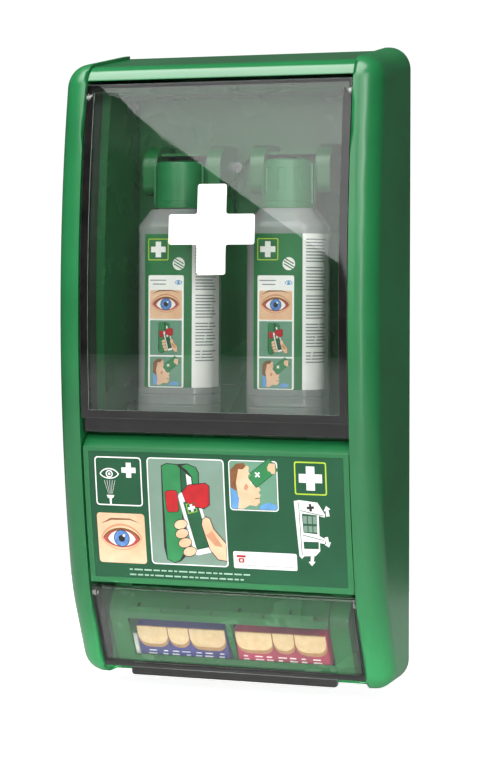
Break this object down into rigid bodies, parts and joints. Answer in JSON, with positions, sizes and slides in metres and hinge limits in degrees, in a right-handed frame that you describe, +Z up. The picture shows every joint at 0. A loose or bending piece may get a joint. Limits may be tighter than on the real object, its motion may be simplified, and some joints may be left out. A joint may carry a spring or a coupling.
{
  "type": "eyewash station cabinet",
  "caption": "Wall-mounted eyewash station: green moulded cabinet, clear hinged lid over eyewash bottles in forks, fold-down panel and plaster dispenser below.",
  "frame": {"origin": "midway between the two wall-screw holes, on the wall face of the rear panel", "axes": "+Z up, +X to the right seen from the front, the front faces -Y and the wall is the plane y = 0"},
  "size_m": [0.29, 0.12, 0.56],
  "materials": {
    "green_abs": "moulded green ABS, satin gloss",
    "clear_pc": "clear polycarbonate, polished",
    "smoked_pc": "smoke-tinted polycarbonate, polished",
    "white_nylon": "white nylon",
    "zinc_screw": "zinc-plated steel",
    "printed_card": "varnished printed card",
    "printed_film": "printed self-adhesive film",
    "white_ldpe": "white low-density polyethylene",
    "grey_key": "light grey polypropylene",
    "white_ink": "white screen-print ink",
    "bottle_film": "printed bottle label, gloss",
    "soft_cup": "soft translucent elastomer",
    "cap_green": "green polypropylene, fine texture",
    "plaster_fabric": "woven skin-coloured fabric"
  },
  "bodies": {
    "cabinet": {"cheek_screws": "zinc_screw", "dispenser_bar": "green_abs", "dispenser_divider": "green_abs", "dispenser_housing": "green_abs", "holder_screws": "zinc_screw", "left_cap": "cap_green", "left_cheek": "green_abs", "left_holder": "green_abs", "left_plasters": "plaster_fabric", "left_refill": "printed_card", "middle_tray": "green_abs", "panel_catches": "green_abs", "rear_panel": "green_abs", "refill_key": "grey_key", "right_cap": "cap_green", "right_cheek": "green_abs", "right_holder": "green_abs", "right_plasters": "plaster_fabric", "right_refill": "printed_card", "top_cover": "green_abs", "upper_liner": "green_abs"},
    "upper_lid": {"upper_lid": "clear_pc", "lid_cross": "white_ink", "upper_lid_pins": "white_nylon"},
    "front_panel": {"front_panel": "green_abs", "panel_label": "printed_film", "front_panel_pins": "white_nylon"},
    "dispenser_lid": {"dispenser_lid": "smoked_pc", "dispenser_lid_pins": "white_nylon"},
    "left_bottle": {"left_bottle": "white_ldpe", "left_bottle_label": "bottle_film", "left_eye_cup": "soft_cup"},
    "right_bottle": {"right_bottle": "white_ldpe", "right_bottle_label": "bottle_film", "right_eye_cup": "soft_cup"}
  },
  "joints": [
    {"name": "upper_lid_hinge", "type": "hinge", "parent": "cabinet", "child": "upper_lid", "pos_m": [0, -0.0995, 0.214], "axis": [-1, 0, 0], "range_deg": [0, 105]},
    {"name": "front_panel_hinge", "type": "hinge", "parent": "cabinet", "child": "front_panel", "pos_m": [0, -0.0864, -0.2055], "axis": [1, 0, 0], "range_deg": [0, 85]},
    {"name": "dispenser_lid_hinge", "type": "hinge", "parent": "cabinet", "child": "dispenser_lid", "pos_m": [0, -0.08101, -0.2225], "axis": [-1, 0, 0], "range_deg": [0, 95]},
    {"name": "left_bottle_twist", "type": "hinge", "parent": "cabinet", "child": "left_bottle", "pos_m": [-0.0503, -0.057, -0.066], "axis": [0, 0, 1], "range_deg": [0, 90]},
    {"name": "right_bottle_twist", "type": "hinge", "parent": "cabinet", "child": "right_bottle", "pos_m": [0.0503, -0.057, -0.066], "axis": [0, 0, 1], "range_deg": [0, 90]}
  ]
}
